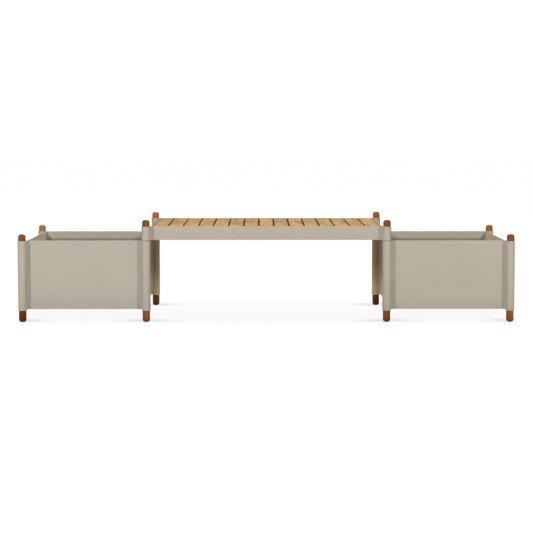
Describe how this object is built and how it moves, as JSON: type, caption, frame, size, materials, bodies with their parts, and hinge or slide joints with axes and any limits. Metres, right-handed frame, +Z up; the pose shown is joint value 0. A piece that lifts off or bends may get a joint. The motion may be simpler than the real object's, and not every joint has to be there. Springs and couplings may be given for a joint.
{
  "type": "bench with planters",
  "caption": "Slatted timber bench held between two square metal planters on round timber posts, with lift-out liners.",
  "frame": {"origin": "centre of the bounding box's footprint, on the ground under the middle of the seat", "axes": "+X along the bench to the right as seen from the front, -Y towards the front, +Z up"},
  "size_m": [2.3488, 0.6258, 0.484],
  "materials": {
    "post_wood": "oiled reddish-brown hardwood",
    "slat_wood": "oiled light teak, brushed along the grain",
    "powder_coat": "fine-textured matt powder coat, warm greige",
    "support_coat": "matt powder coat, dark brown, on the hidden supports of the slats",
    "liner_plastic": "moulded, taupe grey",
    "spacer_nylon": "plain black"
  },
  "bodies": {
    "base": {"planter_floor_left": "powder_coat", "planter_floor_right": "powder_coat", "planter_panel_left_back": "powder_coat", "planter_panel_left_front": "powder_coat", "planter_panel_left_inner": "powder_coat", "planter_panel_left_outer": "powder_coat", "planter_panel_right_back": "powder_coat", "planter_panel_right_front": "powder_coat", "planter_panel_right_inner": "powder_coat", "planter_panel_right_outer": "powder_coat", "planter_tube_left_inner_back": "powder_coat", "planter_tube_left_inner_front": "powder_coat", "planter_tube_left_outer_back": "powder_coat", "planter_tube_left_outer_front": "powder_coat", "planter_tube_right_inner_back": "powder_coat", "planter_tube_right_inner_front": "powder_coat", "planter_tube_right_outer_back": "powder_coat", "planter_tube_right_outer_front": "powder_coat", "post_left_inner_back": "post_wood", "post_left_inner_front": "post_wood", "post_left_outer_back": "post_wood", "post_left_outer_front": "post_wood", "post_right_inner_back": "post_wood", "post_right_inner_front": "post_wood", "post_right_outer_back": "post_wood", "post_right_outer_front": "post_wood", "spacer_left_inner_back": "spacer_nylon", "spacer_left_inner_front": "spacer_nylon", "spacer_right_inner_back": "spacer_nylon", "spacer_right_inner_front": "spacer_nylon"},
    "seat": {"seat_bearer": "support_coat", "seat_ledge_back": "support_coat", "seat_ledge_front": "support_coat", "seat_rail_back": "powder_coat", "seat_rail_front": "powder_coat", "seat_rail_left": "powder_coat", "seat_rail_right": "powder_coat", "seat_slat_01": "slat_wood", "seat_slat_02": "slat_wood", "seat_slat_03": "slat_wood", "seat_slat_04": "slat_wood", "seat_slat_05": "slat_wood", "seat_slat_06": "slat_wood", "seat_slat_07": "slat_wood", "seat_slat_08": "slat_wood", "seat_slat_09": "slat_wood", "seat_slat_10": "slat_wood", "seat_slat_11": "slat_wood", "seat_slat_12": "slat_wood", "seat_slat_13": "slat_wood", "seat_slat_14": "slat_wood", "seat_slat_15": "slat_wood", "seat_tube_left_inner_back": "powder_coat", "seat_tube_left_inner_front": "powder_coat", "seat_tube_right_inner_back": "powder_coat", "seat_tube_right_inner_front": "powder_coat"},
    "liner_left": {"planter_liner_left": "liner_plastic"},
    "liner_right": {"planter_liner_right": "liner_plastic"}
  },
  "joints": [
    {"name": "seat_lift", "type": "slide", "parent": "base", "child": "seat", "axis": [0, 0, 1], "range_m": [0, 0.11]},
    {"name": "liner_left_lift", "type": "slide", "parent": "base", "child": "liner_left", "axis": [0, 0, 1], "range_m": [0, 0.33]},
    {"name": "liner_right_lift", "type": "slide", "parent": "base", "child": "liner_right", "axis": [0, 0, 1], "range_m": [0, 0.33]}
  ]
}
